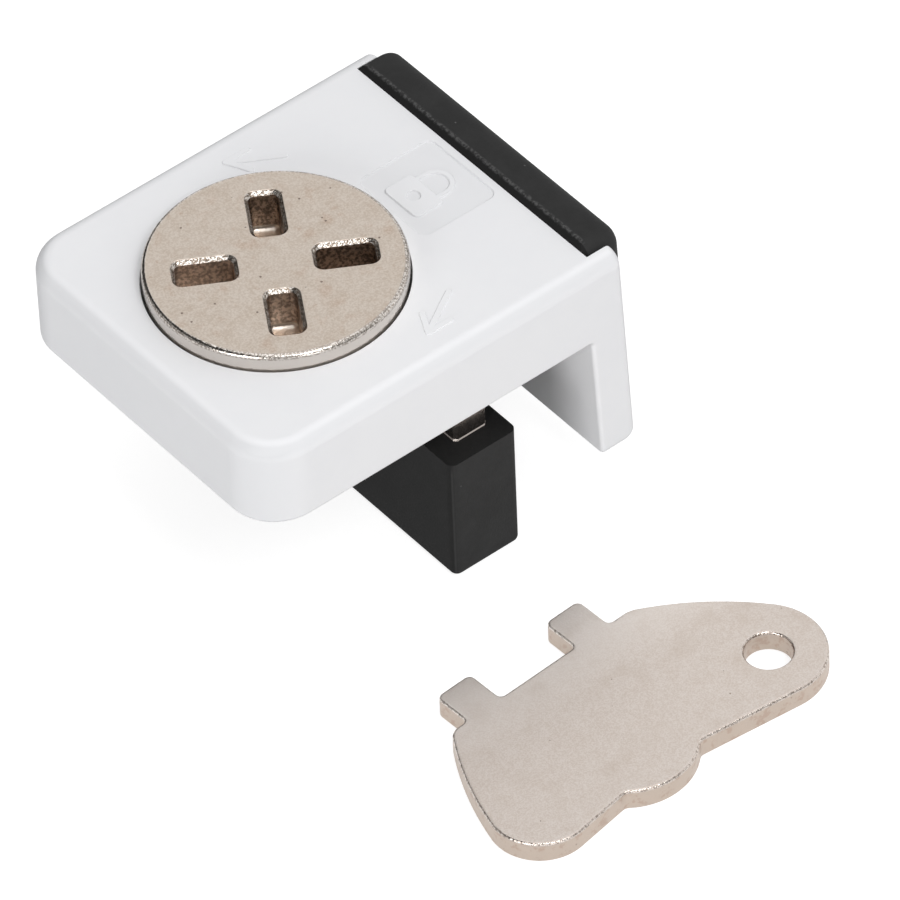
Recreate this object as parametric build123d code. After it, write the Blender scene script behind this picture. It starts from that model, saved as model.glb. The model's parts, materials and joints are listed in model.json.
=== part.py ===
from build123d import *
import math
import os

# Sliding window lock: a housing that hooks over a window's track, a turning disc that drives
# a rubber-shod leg towards the housing's lip, and a loose two-prong key.
# Millimetres. The origin is on the disc's axis at the level of the plate's top face.
# +X points at the lip, +Z up. The disc is shown open, with the leg at its far end of travel.

# Housing
plate_reach = 17.8          # disc axis to the plate's free end
plate_width = 40.4
skirt_height = 10.25         # plate top to the skirt's rim
skirt_wall = 2.2
roof_thickness = 3.2        # plate over the mechanism
corner_radius = 5.5         # upright corners at the free end
top_edge_radius = 1.7
rim_edge_radius = 0.45      # along the skirt's rim and round the lip's inner face
rail_inset = 4.8            # skirt's inner face to the slide plate's rail
rail_end = 7.6              # rails and bottom cover stop here, before the leg
chamber_end = 21.4          # the leg's chamber stops here, before the lip

# Lip
lip_root = 24.2             # inner face where it leaves the skirt's rim
lip_thickness = 4.5
lip_depth = 26.75           # plate top to the lip's lower edge
lip_lean = 3.0              # degrees, outwards
lip_edge_radius = 0.7       # round the outer face's top and ends
lip_foot_radius = 1.4
lip_root_radius = 0.5

# Buffer strip on the lip's top and outer face
strip_start = 25.2          # its inner edge on the plate
strip_rise = 0.6            # above the plate
strip_bevel = 0.7
strip_proud = 2.25          # beyond the lip's outer face
strip_edge_radius = 2.5
strip_near_radius = 2.6     # outer corner at the -Y end
strip_far_radius = 1.0      # outer corner at the +Y end
strip_cheek = 1.85          # white cheek left at each end
strip_seat_depth = 1.8      # seat below the plate's top
strip_seat_side = 1.2       # seat behind the lip's outer face
strip_foot = 21.5           # plate top to the strip's lower end
strip_foot_radius = 0.7
strip_plug_radius = 1.3
strip_plug_length = 1.6
strip_plug_pitch = 12.0
strip_plug_level = 9.0      # plugs below the plate's top
strip_clearance = 0.04

# Turning disc
disc_radius = 13.5
disc_rise = 2.0             # above the plate
disc_rim_radius = 0.5
disc_recess_gap = 0.2       # ring gap around the head
disc_recess_depth = 1.2
head_overhang = 1.5         # head beyond the drum
drum_radius = disc_radius - head_overhang
drum_end = 6.2              # plate top to the drum's underside
bore_clearance = 0.08
seat_clearance = 0.04
disc_rest_angle = -31.0     # degrees, first key pocket from +X

# Key pockets
pocket_circle = 7.15
pocket_length = 6.0
pocket_width = 3.1
pocket_depth = 5.1
pocket_corner = 0.7
pocket_bevel = 0.42
pocket_floor_radius = 0.6
pocket_count = 4

# Scroll groove under the drum
scroll_start = 1.9          # groove's centre line at the open end
scroll_pitch = 9.0          # outward per turn
scroll_depth = 1.5
jaw_travel = 7.5
roller_radius = 1.4
roller_clearance = 0.05
scroll_steps = 24
scroll_overrun = 6.0        # degrees past each end

# Washers and retaining ring
thrust_thickness = 0.4
washer_overlap = 1.4        # spring washer beyond the drum
washer_thickness = 0.25
washer_height = 0.76
ring_thickness = 1.0
ring_groove_depth = 0.6
ring_width = 1.9
ring_opening = 34.0         # degrees
ring_lug_radius = 1.5
ring_lug_hole = 0.55
ring_slack = 0.02
ring_room = 0.5             # housing's clearance round the lugs

# Slide plate, leg and pin
slide_gap = 0.2             # drum to slide plate, and slide plate to cover
slide_thickness = 1.6
slide_tail = 10.0           # disc axis to the slide plate's free end
slide_side_gap = 0.25
leg_start = 8.1             # leg's face on the disc's side
leg_thickness = 4.2
leg_side_gap = 0.3
leg_chamfer = 0.35
tee_overhang = 0.2          # slide plate's head beyond the leg
pin_radius = 0.8
pin_head_radius = 1.4
pin_head_height = 0.5
pin_tip_gap = 0.2           # pin's tip below the groove's floor
roller_end_gap = 0.06
pin_bore_gap = 0.03

# Rubber shoe
shoe_thickness = 8.6
shoe_front_wall = 1.8       # rubber between the leg and the gripping face
shoe_top = 15.6             # plate top to the shoe's top
shoe_height = 16.0
shoe_floor = 2.0
shoe_back_radius = 0.9
shoe_front_radius = 0.8
shoe_foot_radius = 0.75
shoe_fit = 0.02

# Bottom cover
cover_thickness = 1.3
cover_gap = 0.15

# Screws
screw_radius = 1.25
screw_head_radius = 2.3
screw_fit = 0.02
screw_slot_width = 0.6
screw_slot_length = 2.6
screw_slot_depth = 0.7
cover_screw_length = 5.4
cover_screw_inset = 2.6     # from the rail's faces
leg_screw_length = 7.0
leg_screw_pitch = 12.5

# Marks on the plate
mark_height = 0.1
mark_slope = 0.17
arrow_circle = 17.5
arrow_tail_angle = 48.5
arrow_tip_angle = 68.5
arrow_stroke = 0.9
arrow_barb = 2.8
arrow_barb_angle = 32.0
field_start = 14.6
field_end = 24.4
field_width = 11.0
field_corner = 1.1
field_depth = 0.14
padlock_body_length = 3.9
padlock_body_width = 5.6
padlock_corner = 0.7
padlock_stroke = 0.8
padlock_shackle_radius = 1.7
padlock_shackle_leg = 0.9
padlock_keyhole_radius = 0.6
padlock_start = 15.8

# Key
key_thickness = 2.6
key_prong_width = 4.6
key_prong_length = 4.55
key_prong_spread = 0.22      # prongs' centres beyond the pocket circle
key_prong_corner = 0.8
key_prong_root = 0.6
key_shoulder_left = 11.7
key_shoulder_right = 12.4
key_shoulder_left_radius = 1.6
key_shoulder_right_radius = 3.0
key_heel_x = -12.05
key_heel_y = -17.97
key_heel_radius = 5.48
key_heel_join_angle = 165.0  # where the side runs into the heel
key_lobe_x = 18.4
key_lobe_y = -18.05
key_lobe_radius = 6.55
key_lobe_join_angle = 37.0   # where the side runs into the lobe
key_hole_x = 18.63
key_hole_y = -18.45
key_hole_radius = 2.5
key_thumb_x = 0.25
key_thumb_half = 5.1
key_thumb_top = -22.65
key_thumb_depth = 2.0
key_thumb_root = 0.9
key_edge_radius = 0.3
key_rest_x = 1.8           # middle of the prongs' tips, where the key lies
key_rest_y = -33.0
key_rest_angle = 3.0

# Levels, down from the plate's top
roof_level = -roof_thickness
rim_level = -skirt_height
drum_level = -drum_end
slide_top = drum_level - slide_gap
slide_bottom = slide_top - slide_thickness
cover_top = slide_bottom - slide_gap
cover_bottom = cover_top - cover_thickness
recess_level = -disc_recess_depth
head_level = recess_level + thrust_thickness + seat_clearance
washer_level = roof_level - washer_height
ring_top = washer_level - seat_clearance
ring_bottom = ring_top - ring_thickness
shoe_bottom = -(shoe_top + shoe_height)
leg_bottom = shoe_bottom + shoe_floor + shoe_fit

# Plan sizes
half_width = plate_width / 2
inner_half = half_width - skirt_wall
rail_half = inner_half - rail_inset
inner_start = -plate_reach + skirt_wall
inner_corner = corner_radius - skirt_wall
slide_half = rail_half - slide_side_gap
leg_half = inner_half - leg_side_gap
leg_end = leg_start + leg_thickness
ring_groove_radius = drum_radius - ring_groove_depth
ring_outer = ring_groove_radius + ring_slack + ring_width
ring_lug_circle = ring_outer - ring_lug_radius * 0.4
ring_room_radius = ring_lug_circle + ring_lug_radius + ring_room
lean = math.tan(math.radians(lip_lean))
strip_half = half_width - strip_cheek


def block(x0, x1, y0, y1, z0, z1):
    """A box between six planes."""
    return Pos((x0 + x1) / 2, (y0 + y1) / 2, (z0 + z1) / 2) * Box(x1 - x0, y1 - y0, z1 - z0)


def disc(radius, z0, z1, x=0.0, y=0.0):
    """An upright cylinder between two levels."""
    return Pos(x, y, (z0 + z1) / 2) * Cylinder(radius, z1 - z0)


def side_profile(points, half):
    """Extrude a closed outline in the XZ plane over both sides of Y = 0."""
    face = Plane.XZ * make_face(Polyline(*points, close=True))
    return extrude(face, half, both=True)


def lip_inner(z):
    """X of the lip's inner face at a level."""
    return lip_root + (rim_level - z) * lean


def lip_outer(z):
    """X of the lip's outer face at a level."""
    return lip_inner(z) + lip_thickness


def edges_at(part, axis_name, value, tolerance=1e-3):
    """Edges whose two ends lie at one coordinate."""
    found = ShapeList()
    for edge in part.edges():
        ends = [getattr(point, axis_name) for point in (edge @ 0, edge @ 1, edge @ 0.5)]
        if all(abs(end - value) < tolerance for end in ends):
            found.append(edge)
    return found


def corner_near(shape, x, y):
    """The vertex of a flat shape that lies nearest to a point."""
    return min(shape.vertices(), key=lambda vertex: math.hypot(vertex.X - x, vertex.Y - y))


def countersunk_screw(length, fit=0.0):
    """A countersunk screw along -Z with its head's face at Z = 0. A fit makes its hole."""
    shank = screw_radius + fit
    head = screw_head_radius + fit
    cone = head - shank
    body = disc(shank, -length - fit, 0)
    body += Pos(0, 0, -cone / 2) * Cone(shank, head, cone)
    return body


def cross_recess():
    """The driver's cross in a screw head's face at Z = 0."""
    slot = Box(screw_slot_length, screw_slot_width, 2 * screw_slot_depth)
    return slot + Rot(0, 0, 90) * slot


def on_inner_rim(edge):
    """Whether an edge runs along the skirt's rim or round the lip's inner face."""
    points = [edge @ 0, edge @ 0.5, edge @ 1]
    middle = points[1]
    past_root = lip_root - lip_root_radius - 0.1 < middle.X < lip_inner(-lip_depth) + 0.01
    at_end = all(abs(abs(point.Y) - half_width) < 1e-3 for point in points) and middle.Z < rim_level
    on_rim = all(abs(point.Z - rim_level) < 1e-3 for point in points) and middle.X < lip_root - 1
    on_foot = all(abs(point.Z + lip_depth) < 1e-3 for point in points) and abs(middle.Y) < 0.1
    return on_rim or past_root and (at_end or on_foot)


def housing_shell():
    """The casting's outside: plate, skirt and leaning lip, with its rounded edges."""
    outline = [
        (-plate_reach, 0),
        (lip_outer(0), 0),
        (lip_outer(-lip_depth), -lip_depth),
        (lip_inner(-lip_depth), -lip_depth),
        (lip_root, rim_level),
        (-plate_reach, rim_level),
    ]
    shell = side_profile(outline, half_width)
    uprights = edges_at(shell, "X", -plate_reach).filter_by(Axis.Z)
    shell = fillet(uprights, corner_radius)
    crown = [edge for edge in edges_at(shell, "Z", 0) if (edge @ 0.5).X < lip_outer(0) - 0.1]
    shell = fillet(crown, top_edge_radius)
    root = [edge for edge in edges_at(shell, "X", lip_root) if abs((edge @ 0.5).Y) < 0.1]
    shell = fillet(root, lip_root_radius)
    shell = fillet(edges_at(shell, "Z", -lip_depth).sort_by(Axis.X)[-1], lip_foot_radius)
    shell = fillet(edges_at(shell, "X", lip_outer(0)), lip_edge_radius)
    return fillet([edge for edge in shell.edges() if on_inner_rim(edge)], rim_edge_radius)


def stroke(start, end, width):
    """A round-ended bar between two points of the plan."""
    length = math.hypot(end[0] - start[0], end[1] - start[1])
    heading = math.degrees(math.atan2(end[1] - start[1], end[0] - start[0]))
    middle = Pos((start[0] + end[0]) / 2, (start[1] + end[1]) / 2)
    return middle * Rot(0, 0, heading) * SlotOverall(length + width, width)


def arrow_mark():
    """One straight turning arrow beside the disc, as a flat face."""
    tip = on_circle(0, 0, arrow_circle, arrow_tip_angle)
    tail = on_circle(0, 0, arrow_circle, arrow_tail_angle)
    heading = math.degrees(math.atan2(tail[1] - tip[1], tail[0] - tip[0]))
    mark = stroke(tip, tail, arrow_stroke)
    for side in (-1, 1):
        barb = on_circle(*tip, arrow_barb, heading + side * arrow_barb_angle)
        mark += stroke(tip, barb, arrow_stroke)
    return mark


def padlock_mark():
    """A plain padlock pictogram in the recessed field, as a flat face."""
    width = padlock_stroke
    length = padlock_body_length
    body = Pos(padlock_start + length / 2, 0) * RectangleRounded(length, padlock_body_width, padlock_corner)
    body -= Pos(padlock_start + length / 2, 0) * Circle(padlock_keyhole_radius)
    top = padlock_start + length
    arch_x = top + padlock_shackle_leg
    arch = Circle(padlock_shackle_radius + width / 2) - Circle(padlock_shackle_radius - width / 2)
    reach = padlock_shackle_radius + width
    arch &= Pos(reach, 0) * Rectangle(2 * reach, 2 * reach)
    mark = body + Pos(arch_x, 0) * arch
    for side in (-1, 1):
        y = side * padlock_shackle_radius
        mark += Pos((top + arch_x) / 2 - width / 4, y) * Rectangle(padlock_shackle_leg + width / 2, width)
    return mark


def raised_mark(flat, foot, top):
    """A raised mark with sloping sides, from a flat face, between two levels."""
    mark = Pos(0, 0, foot) * extrude(flat, top - foot)
    return chamfer(edges_at(mark, "Z", top), mark_slope)


def cover_screw_places():
    """Plan positions of the four cover screws, in the rails."""
    y = inner_half - cover_screw_inset
    x_low = inner_start + cover_screw_inset + 0.4
    x_high = rail_end - cover_screw_inset
    return [(x, side * y) for x in (x_low, x_high) for side in (-1, 1)]


def strip_seat(grow=0.0):
    """The seat of the buffer strip, cut out of the lip's top and outer face."""
    back_top = lip_outer(-strip_seat_depth) - strip_seat_side
    back_foot = lip_outer(-strip_foot) - strip_seat_side
    beyond = lip_outer(-lip_depth) + lip_thickness
    outline = [
        (strip_start - grow, 1),
        (strip_start - grow, -strip_seat_depth - grow),
        (back_top - grow, -strip_seat_depth - grow),
        (back_foot - grow, -strip_foot - grow),
        (beyond, -strip_foot - grow),
        (beyond, 1),
    ]
    return side_profile(outline, strip_half + grow)


def strip_plugs(grow=0.0):
    """Moulded plugs that hold the strip in the lip."""
    seat_x = lip_outer(-strip_plug_level) - strip_seat_side
    plugs = Part()
    for step in (-1, 0, 1):
        length = strip_plug_length + grow
        plug = Rot(0, 90, 0) * Cylinder(strip_plug_radius + grow, length + 0.5)
        place = Pos(seat_x - length + (length + 0.5) / 2, step * strip_plug_pitch, -strip_plug_level)
        plugs += place * plug
    return plugs


def make_housing():
    """The white casting with its cavities, seats, screw holes and raised marks."""
    body = housing_shell()
    body -= block(inner_start, rail_end + 1, -rail_half, rail_half, rim_level - 1, roof_level)
    body -= block(rail_end, chamber_end, -inner_half, inner_half, rim_level - 1, roof_level)
    cover_seat = block(inner_start, rail_end + 1, -inner_half, inner_half, rim_level - 1, cover_top)
    seat_corners = edges_at(cover_seat, "X", inner_start).filter_by(Axis.Z)
    body -= fillet(seat_corners, inner_corner)
    body -= disc(ring_room_radius, ring_bottom - seat_clearance, roof_level)
    body -= disc(drum_radius + bore_clearance, roof_level - 1, 1)
    body -= disc(disc_radius + disc_recess_gap, recess_level, 1)
    for x, y in cover_screw_places():
        hole_end = cover_bottom + cover_screw_length + screw_fit
        body -= disc(screw_radius + screw_fit, cover_top - 1, hole_end, x, y)
    body -= strip_seat()
    body -= strip_plugs(strip_clearance)
    field_length = field_end - field_start
    field = Pos((field_start + field_end) / 2, 0) * RectangleRounded(field_length, field_width, field_corner)
    field = Pos(0, 0, -field_depth) * extrude(field, 1)
    body -= chamfer(edges_at(field, "Z", -field_depth), mark_slope)
    body += raised_mark(padlock_mark(), -field_depth - 0.1, 0)
    arrow = arrow_mark()
    for flat in (arrow, mirror(arrow, about=Plane.XZ)):
        body += raised_mark(flat, -0.1, mark_height)
    return body


def make_buffer_strip():
    """The black strip: seated over the lip's top edge, proud of the plate and of the lip."""
    gap = strip_clearance
    foot = -strip_foot + gap
    back_top = lip_outer(-strip_seat_depth) - strip_seat_side + gap
    back_foot = lip_outer(-strip_foot) - strip_seat_side + gap
    outline = [
        (strip_start + gap, -strip_seat_depth + gap),
        (strip_start + gap, 0.05),
        (strip_start + gap + strip_bevel, strip_rise),
        (lip_outer(strip_rise) + strip_proud, strip_rise),
        (lip_outer(foot) + strip_proud, foot),
        (back_foot, foot),
        (back_top, -strip_seat_depth + gap),
    ]
    half = strip_half - gap
    strip = side_profile(outline, half)
    near = edges_at(strip, "Y", -half).sort_by(Axis.X)[-1]
    strip = fillet(near, strip_near_radius)
    upper = edges_at(strip, "Z", strip_rise).filter_by(Axis.Y).sort_by(Axis.X)[-1]
    strip = fillet(upper, strip_edge_radius)
    lower = edges_at(strip, "Z", foot).filter_by(Axis.Y).sort_by(Axis.X)[-1]
    strip = fillet(lower, strip_foot_radius)
    far = edges_at(strip, "Y", half).sort_by(Axis.X)[-1]
    strip = fillet(far, strip_far_radius)
    return strip + strip_plugs()


def spiral_point(turn, offset):
    """A point beside the scroll's centre line, at an angle in degrees, offset outwards."""
    angle = math.radians(turn)
    growth = scroll_pitch / math.tau
    radius = scroll_start + growth * angle
    length = math.hypot(radius, growth)
    normal = ((radius * math.cos(angle) + growth * math.sin(angle)) / length,
              (radius * math.sin(angle) - growth * math.cos(angle)) / length)
    return (radius * math.cos(angle) + offset * normal[0], radius * math.sin(angle) + offset * normal[1])


def scroll_turn():
    """Degrees that the disc turns for the jaw's whole travel."""
    return 360 * jaw_travel / scroll_pitch


def make_scroll_groove():
    """The spiral groove that carries the roller, cut up into the drum's underside."""
    half = roller_radius + roller_clearance
    first = -scroll_overrun
    last = scroll_turn() + scroll_overrun
    turns = [first + (last - first) * step / scroll_steps for step in range(scroll_steps + 1)]
    outer = Spline(*[spiral_point(turn, half) for turn in turns])
    inner = Spline(*[spiral_point(turn, -half) for turn in reversed(turns)])
    groove = make_face([outer, Line(outer @ 1, inner @ 0), inner, Line(inner @ 1, outer @ 0)])
    for turn in (first, last):
        x, y = spiral_point(turn, 0)
        groove += Pos(x, y) * Circle(half)
    return Pos(0, 0, drum_level - 1) * extrude(groove, scroll_depth + 1)


def make_rotor_disc():
    """The plated disc: proud head with key pockets, drum with ring groove and scroll."""
    body = disc(disc_radius, head_level, disc_rise)
    body = fillet(edges_at(body, "Z", disc_rise), disc_rim_radius)
    body += disc(drum_radius, drum_level, head_level)
    neck = disc(drum_radius + 1, ring_bottom - ring_slack, ring_top + ring_slack)
    body -= neck - disc(ring_groove_radius, ring_bottom - ring_slack, ring_top + ring_slack)
    mouth = RectangleRounded(pocket_length, pocket_width, pocket_corner)
    pocket_floor = disc_rise - pocket_depth
    pocket = Pos(0, 0, pocket_floor) * extrude(mouth, pocket_depth + 1)
    pocket = fillet(edges_at(pocket, "Z", pocket_floor), pocket_floor_radius)
    for step in range(pocket_count):
        angle = disc_rest_angle + 360 / pocket_count * step
        body -= Rot(0, 0, angle) * Pos(pocket_circle, 0, 0) * pocket
    reach = disc_radius - disc_rim_radius - 0.2
    level_edges = edges_at(body, "Z", disc_rise)
    mouths = [edge for edge in level_edges if math.hypot((edge @ 0.5).X, (edge @ 0.5).Y) < reach]
    body = chamfer(mouths, pocket_bevel)
    return body - make_scroll_groove()


def make_thrust_washer():
    """The nylon ring under the disc's head."""
    outer = disc_radius + disc_recess_gap / 2
    ring = disc(outer, recess_level, recess_level + thrust_thickness)
    return ring - disc(drum_radius + 2 * bore_clearance, recess_level - 1, 0)


def make_spring_washer():
    """The curved washer: a ring cut from a sheet bent to an arc along X."""
    outer = drum_radius + washer_overlap
    sag = washer_height - washer_thickness
    bow = (outer * outer + sag * sag) / (2 * sag)
    upper = roof_level - seat_clearance / 2
    centre = upper - sag + bow
    sheet = Circle(bow + washer_thickness) - Circle(bow)
    sheet = extrude(Plane.XZ * (Pos(0, centre) * sheet), outer + 1, both=True)
    sleeve = disc(outer, washer_level - 1, roof_level) - disc(drum_radius + 0.2, washer_level - 2, 0)
    return sheet & sleeve


def make_retaining_ring():
    """The circlip in the drum's groove, with its two pierced lugs."""
    bore = ring_groove_radius + ring_slack
    ring = Circle(ring_outer) - Circle(bore)
    half = math.radians(ring_opening / 2)
    reach = 2 * ring_outer
    notch = Polyline((0, 0), (reach * math.cos(half), reach * math.sin(half)),
                     (reach * math.cos(half), -reach * math.sin(half)), close=True)
    ring -= make_face(notch)
    lug_angle = ring_opening / 2 + math.degrees(ring_lug_radius / ring_lug_circle)
    for side in (-1, 1):
        place = Rot(0, 0, side * lug_angle) * Pos(ring_lug_circle, 0)
        ring += place * Circle(ring_lug_radius)
    ring -= Circle(bore)
    for side in (-1, 1):
        ring -= Rot(0, 0, side * lug_angle) * Pos(ring_lug_circle, 0) * Circle(ring_lug_hole)
    return Pos(0, 0, ring_bottom) * extrude(Rot(0, 0, 180) * ring, ring_thickness)


def leg_screw_places():
    """Plan positions of the three leg screws, along the leg's middle."""
    x = leg_start + leg_thickness / 2
    return [(x, step * leg_screw_pitch) for step in (-1, 0, 1)]


def make_slide_plate():
    """The sliding plate under the disc, with a wide head over the leg."""
    head_start = leg_start - tee_overhang
    head_end = leg_end + tee_overhang
    plate = block(-slide_tail, head_end, -slide_half, slide_half, slide_bottom, slide_top)
    tail_corners = edges_at(plate, "X", -slide_tail).filter_by(Axis.Z)
    plate = fillet(tail_corners, 1.5)
    plate += block(head_start, head_end, -leg_half, leg_half, slide_bottom, slide_top)
    plate -= disc(pin_radius, slide_bottom - 1, slide_top + 1, scroll_start)
    plate -= disc(pin_head_radius, slide_bottom - 1, slide_bottom + pin_head_height, scroll_start)
    for x, y in leg_screw_places():
        plate -= Pos(x, y, slide_top) * countersunk_screw(leg_screw_length, screw_fit)
    return plate


def make_clamp_leg():
    """The plated bar that hangs from the slide plate into the rubber shoe."""
    leg = block(leg_start, leg_end, -leg_half, leg_half, leg_bottom, slide_bottom)
    leg = chamfer(leg.edges().filter_by(Axis.Z), leg_chamfer)
    for x, y in leg_screw_places():
        leg -= Pos(x, y, slide_top) * countersunk_screw(leg_screw_length, screw_fit)
    return leg


def make_leg_screws():
    """Three countersunk screws, from the slide plate's top into the leg."""
    screw = countersunk_screw(leg_screw_length) - cross_recess()
    screws = [Pos(x, y, slide_top) * screw for x, y in leg_screw_places()]
    return Compound(children=screws)


def make_follower_pin():
    """The headed pin, riveted in the slide plate from below."""
    tip = drum_level + scroll_depth - pin_tip_gap
    pin = disc(pin_radius, slide_bottom, tip, scroll_start)
    pin += disc(pin_head_radius, slide_bottom, slide_bottom + pin_head_height, scroll_start)
    top_edge = edges_at(pin, "Z", tip)
    return chamfer(top_edge, 0.15)


def make_follower_roller():
    """The sleeve that turns on the pin inside the scroll groove."""
    low = slide_top + roller_end_gap
    high = drum_level + scroll_depth - pin_tip_gap - roller_end_gap
    roller = disc(roller_radius, low, high, scroll_start)
    return roller - disc(pin_radius + pin_bore_gap, low - 1, high + 1, scroll_start)


def make_rubber_shoe():
    """The rubber block with the leg's pocket in its top."""
    front = leg_end + shoe_front_wall
    back = front - shoe_thickness
    shoe = block(back, front, -half_width, half_width, shoe_bottom, -shoe_top)
    shoe = fillet(edges_at(shoe, "X", back).filter_by(Axis.Z), shoe_back_radius)
    shoe = fillet(edges_at(shoe, "X", front).filter_by(Axis.Z), shoe_front_radius)
    shoe = fillet(edges_at(shoe, "Z", shoe_bottom), shoe_foot_radius)
    fit = shoe_fit
    pocket = block(leg_start - fit, leg_end + fit, -leg_half - fit, leg_half + fit, leg_bottom - fit, 0)
    return shoe - chamfer(pocket.edges().filter_by(Axis.Z), leg_chamfer)


def make_bottom_cover():
    """The plate that closes the underside and carries the slide plate."""
    gap = cover_gap
    low = inner_start + gap
    cover = block(low, rail_end, -inner_half + gap, inner_half - gap, cover_bottom, cover_top)
    corners = edges_at(cover, "X", low).filter_by(Axis.Z)
    cover = fillet(corners, inner_corner)
    for x, y in cover_screw_places():
        cover -= Pos(x, y, cover_bottom) * Rot(180, 0, 0) * countersunk_screw(cover_screw_length, screw_fit)
    return cover


def make_cover_screws():
    """Four countersunk screws, from the cover's underside up into the rails."""
    screw = Rot(180, 0, 0) * (countersunk_screw(cover_screw_length) - cross_recess())
    screws = [Pos(x, y, cover_bottom) * screw for x, y in cover_screw_places()]
    return Compound(children=screws)


def tangent_point(x, y, centre_x, centre_y, radius, side):
    """Where a line from a point touches a circle, on one side."""
    gap_x = x - centre_x
    gap_y = y - centre_y
    distance = math.hypot(gap_x, gap_y)
    angle = math.atan2(gap_y, gap_x) + side * math.acos(radius / distance)
    return (centre_x + radius * math.cos(angle), centre_y + radius * math.sin(angle))


def on_circle(centre_x, centre_y, radius, degrees):
    """A point of a circle at an angle."""
    angle = math.radians(degrees)
    return (centre_x + radius * math.cos(angle), centre_y + radius * math.sin(angle))


def key_outline():
    """The key's plan, prongs towards +Y, with the middle of their tips at the origin."""
    prong_place = pocket_circle + key_prong_spread
    inner = prong_place - key_prong_width / 2
    outer = prong_place + key_prong_width / 2
    root = -key_prong_length
    shoulder_left = (-key_shoulder_left, root)
    shoulder_right = (key_shoulder_right, root)
    heel = (key_heel_x, key_heel_y, key_heel_radius)
    lobe = (key_lobe_x, key_lobe_y, key_lobe_radius)
    notch_left = (key_thumb_x - key_thumb_half, key_thumb_top)
    notch_right = (key_thumb_x + key_thumb_half, key_thumb_top)
    thumb_low = (key_thumb_x, key_thumb_top - key_thumb_depth)
    heel_side = on_circle(*heel, key_heel_join_angle)
    heel_back = tangent_point(*notch_left, *heel, -1)
    lobe_back = tangent_point(*notch_right, *lobe, 1)
    lobe_side = on_circle(*lobe, key_lobe_join_angle)
    lobe_heading = on_circle(0, 0, 1, key_lobe_join_angle + 90)
    heel_heading = on_circle(0, 0, 1, key_heel_join_angle - 90)
    edges = [
        Polyline(shoulder_left, (-outer, root), (-outer, 0), (-inner, 0), (-inner, root),
                 (inner, root), (inner, 0), (outer, 0), (outer, root), shoulder_right),
        TangentArc(lobe_side, shoulder_right, tangent=lobe_heading),
        ThreePointArc(lobe_side, on_circle(*lobe, -25), lobe_back),
        Line(lobe_back, notch_right),
        ThreePointArc(notch_right, thumb_low, notch_left),
        Line(notch_left, heel_back),
        ThreePointArc(heel_back, on_circle(*heel, 215), heel_side),
        TangentArc(heel_side, shoulder_left, tangent=heel_heading),
    ]
    outline = make_face(edges)
    rounded = [
        (key_prong_corner, [(-outer, 0), (-inner, 0), (inner, 0), (outer, 0)]),
        (key_prong_root, [(-outer, root), (-inner, root), (inner, root), (outer, root)]),
        (key_shoulder_left_radius, [shoulder_left]),
        (key_shoulder_right_radius, [shoulder_right]),
        (key_thumb_root, [notch_left, notch_right]),
    ]
    for radius, points in rounded:
        for x, y in points:
            outline = fillet([corner_near(outline, x, y)], radius)
    return outline - Pos(key_hole_x, key_hole_y) * Circle(key_hole_radius)


def make_key():
    """The loose key, lying beside the lock at the level of the shoe's foot."""
    key = extrude(key_outline(), key_thickness)
    flats = edges_at(key, "Z", 0) + edges_at(key, "Z", key_thickness)
    key = fillet(flats, key_edge_radius)
    return Pos(key_rest_x, key_rest_y, shoe_bottom) * Rot(0, 0, key_rest_angle) * key


nodes = {
    "housing": make_housing,
    "buffer_strip": make_buffer_strip,
    "rotor_disc": make_rotor_disc,
    "thrust_washer": make_thrust_washer,
    "spring_washer": make_spring_washer,
    "retaining_ring": make_retaining_ring,
    "slide_plate": make_slide_plate,
    "clamp_leg": make_clamp_leg,
    "leg_screws": make_leg_screws,
    "follower_pin": make_follower_pin,
    "follower_roller": make_follower_roller,
    "rubber_shoe": make_rubber_shoe,
    "bottom_cover": make_bottom_cover,
    "cover_screws": make_cover_screws,
    "key": make_key,
}

os.makedirs("parts", exist_ok=True)
for name, make in nodes.items():
    export_step(make(), f"parts/{name}.step")
    print(name)
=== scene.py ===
"""Looks of a clamp-on sliding window lock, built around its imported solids.

The white housing hooks over a window track with its lip. A plated disc with four key pockets
turns on the plate, a rubber shoe hangs below it, and the two-prong key lies in front.
Every length is in metres, in the frame of the solids: +Z up, +X towards the lip.
"""

import json
import logging
import math
from abc import ABC, abstractmethod
from collections.abc import Callable
from dataclasses import dataclass
from enum import Enum

import bmesh
import bpy
from mathutils import Matrix, Vector


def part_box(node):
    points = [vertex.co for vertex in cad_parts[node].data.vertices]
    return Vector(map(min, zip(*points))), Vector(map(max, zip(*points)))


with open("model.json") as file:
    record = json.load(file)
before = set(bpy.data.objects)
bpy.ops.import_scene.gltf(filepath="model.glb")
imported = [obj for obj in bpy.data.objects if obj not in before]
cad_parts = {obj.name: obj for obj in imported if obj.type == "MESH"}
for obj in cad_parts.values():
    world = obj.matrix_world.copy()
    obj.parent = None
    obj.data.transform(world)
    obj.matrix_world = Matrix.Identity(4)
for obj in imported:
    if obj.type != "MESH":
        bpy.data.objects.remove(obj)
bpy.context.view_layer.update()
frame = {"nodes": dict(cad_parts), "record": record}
LOG = logging.getLogger("window_lock")
MM = 0.001
FLOOR_GAP = 0.01 * MM
GRAIN_DETAIL = 4.0
GRAIN_ROUGH = 0.55
Colour = tuple[float, float, float]
Point = tuple[float, float, float]
Band = tuple[float, float]
Socket = bpy.types.NodeSocket
Source = Socket | float | tuple


class Slot(Enum):
    """The material slots that the record names."""

    WHITE_COAT = "white_coat"
    WHITE_PLATE = "white_plate"
    BLACK_STRIP = "black_strip"
    BLACK_RUBBER = "black_rubber"
    PLATED_DISC = "plated_disc"
    PLATED_LEG = "plated_leg"
    PLATED_KEY = "plated_key"
    NYLON = "nylon"
    SPRING_STEEL = "spring_steel"
    ZINC_STEEL = "zinc_steel"
    ZINC_SCREWS = "zinc_screws"


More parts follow.
